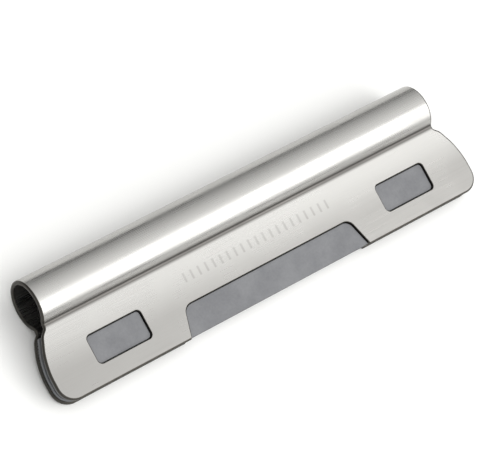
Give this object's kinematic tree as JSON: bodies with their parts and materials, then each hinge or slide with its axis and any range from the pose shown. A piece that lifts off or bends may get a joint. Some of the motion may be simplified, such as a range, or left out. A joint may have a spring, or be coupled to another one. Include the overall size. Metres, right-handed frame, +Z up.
{
  "type": "knife honing guide",
  "caption": "Spring clip honing guide: a folded stainless strip with an open tubular spine and two flat lined jaws that hold a blade at a steady angle on a stone.",
  "frame": {"origin": "under the middle of the clip, on the surface that it lies on", "axes": "+X along the clip, +Y from the lips of the jaws towards the tubular spine, +Z up off the surface that it lies on"},
  "size_m": [0.088, 0.0212, 0.0088],
  "materials": {
    "spring_steel": "fine brushed along the clip, with polished edges",
    "liner_plastic": "moulded, fine matte texture"
  },
  "bodies": {
    "back_jaw": {"back_leaf": "spring_steel", "back_liner": "liner_plastic"},
    "front_jaw": {"front_leaf": "spring_steel", "front_liner": "liner_plastic"}
  },
  "joints": [
    {"name": "jaw_flex", "type": "hinge", "parent": "back_jaw", "child": "front_jaw", "pos_m": [0, 0.01015, 0.00505], "axis": [-1, 0, 0], "range_deg": [0, 12], "stiffness_Nm_per_rad": 0.6, "springref_deg": -8.59}
  ]
}
